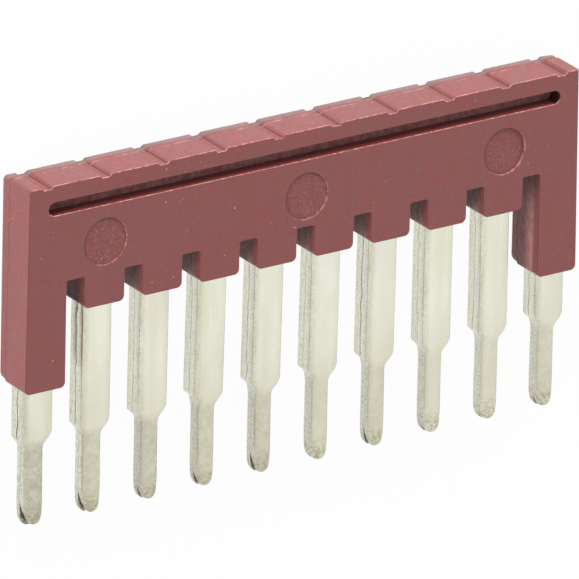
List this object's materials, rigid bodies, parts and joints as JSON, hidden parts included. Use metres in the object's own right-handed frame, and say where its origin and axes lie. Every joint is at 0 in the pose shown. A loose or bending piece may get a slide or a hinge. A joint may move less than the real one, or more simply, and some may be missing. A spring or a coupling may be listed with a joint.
{
  "type": "terminal block jumper bar",
  "caption": "Plug-in jumper bar that links neighbouring terminal blocks: a dark red moulded grip over one folded, tin-plated contact comb with shouldered blades and split tips.",
  "frame": {"origin": "under the middle of the whole bar, on the back face that it lies on", "axes": "+X along the row of blades; +Y from the blade tips to the grip edge; +Z from the back face to the front face with the slot"},
  "size_m": [0.0504, 0.0284, 0.004],
  "materials": {
    "red_plastic": "matt moulded polyamide, dark brownish red",
    "tinned_copper": "bright tin plating over stamped copper alloy, slightly warm"
  },
  "bodies": {
    "root": {"housing": "red_plastic", "contact_comb": "tinned_copper"}
  },
  "joints": []
}
